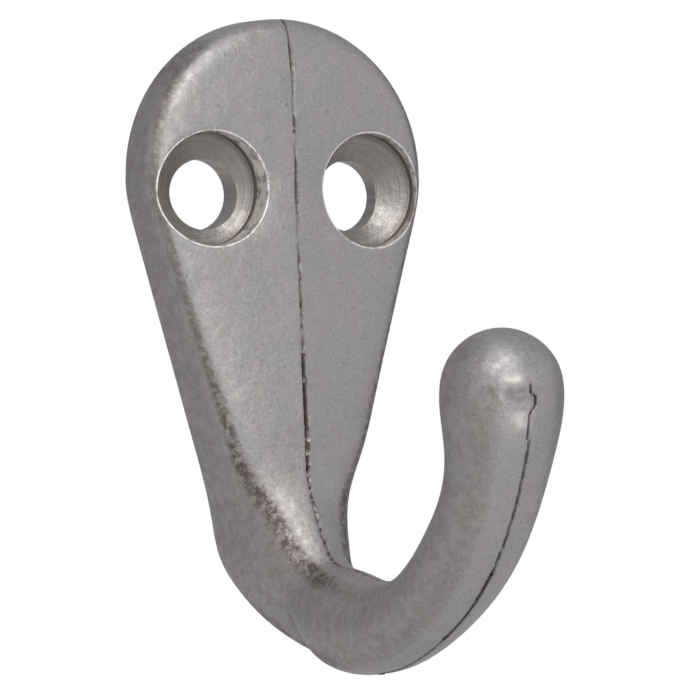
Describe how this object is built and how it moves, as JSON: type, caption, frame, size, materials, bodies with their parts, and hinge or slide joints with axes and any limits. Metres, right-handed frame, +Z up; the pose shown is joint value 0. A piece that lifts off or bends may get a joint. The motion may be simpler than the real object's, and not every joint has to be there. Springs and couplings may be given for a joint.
{
  "type": "coat hook",
  "caption": "Cast metal coat hook: a teardrop wall plate with countersunk screw holes narrows into a curved prong with a rounded tip.",
  "frame": {"origin": "on the flat wall face, midway between the two screw holes", "axes": "+X to the right as seen from the room, +Y into the wall, +Z up; the prong stands out towards -Y"},
  "size_m": [0.0212, 0.0366, 0.0443],
  "materials": {
    "cast_metal": "raw tumbled casting, satin grey"
  },
  "bodies": {
    "root": {"hook": "cast_metal"}
  },
  "joints": []
}
